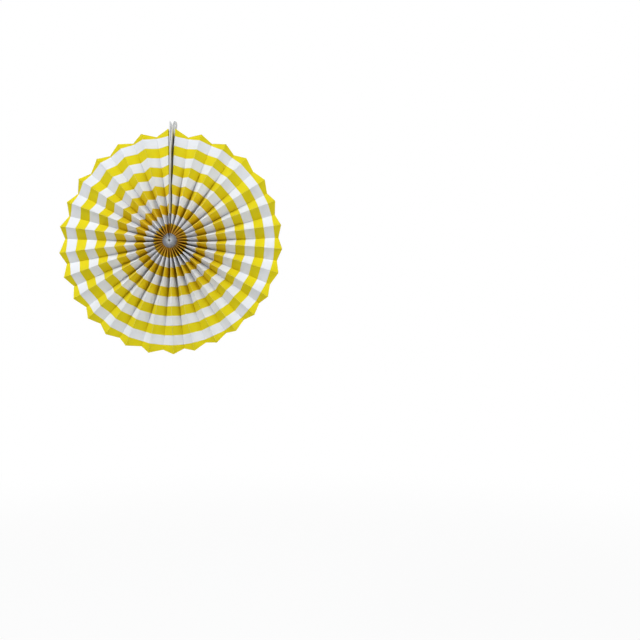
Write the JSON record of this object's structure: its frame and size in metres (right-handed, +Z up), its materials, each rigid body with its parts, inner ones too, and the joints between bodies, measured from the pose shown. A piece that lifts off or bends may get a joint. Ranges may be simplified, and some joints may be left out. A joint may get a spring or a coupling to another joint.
{
  "type": "paper fan rosette",
  "caption": "Round hanging decoration: a striped paper strip folded into pleats and opened out from a seam with card ends into a full circle, hung by a hole through the cards.",
  "frame": {"origin": "on the axis of the hanging hole, in the seam plane between the two end cards", "axes": "+X along the hanging hole, to the right as seen from the front; +Y to the back, square to the open fan; +Z up, from the eye in the middle towards the hole"},
  "size_m": [0.3984, 0.0336, 0.4191],
  "materials": {
    "printed_paper": "matte",
    "white_card": "matte",
    "tape": "matte",
    "thread": "matte"
  },
  "bodies": {
    "root": {"pleated_paper": "printed_paper", "end_card_left": "white_card", "end_card_right": "white_card", "seam_tape": "tape", "centre_thread": "thread"}
  },
  "joints": []
}
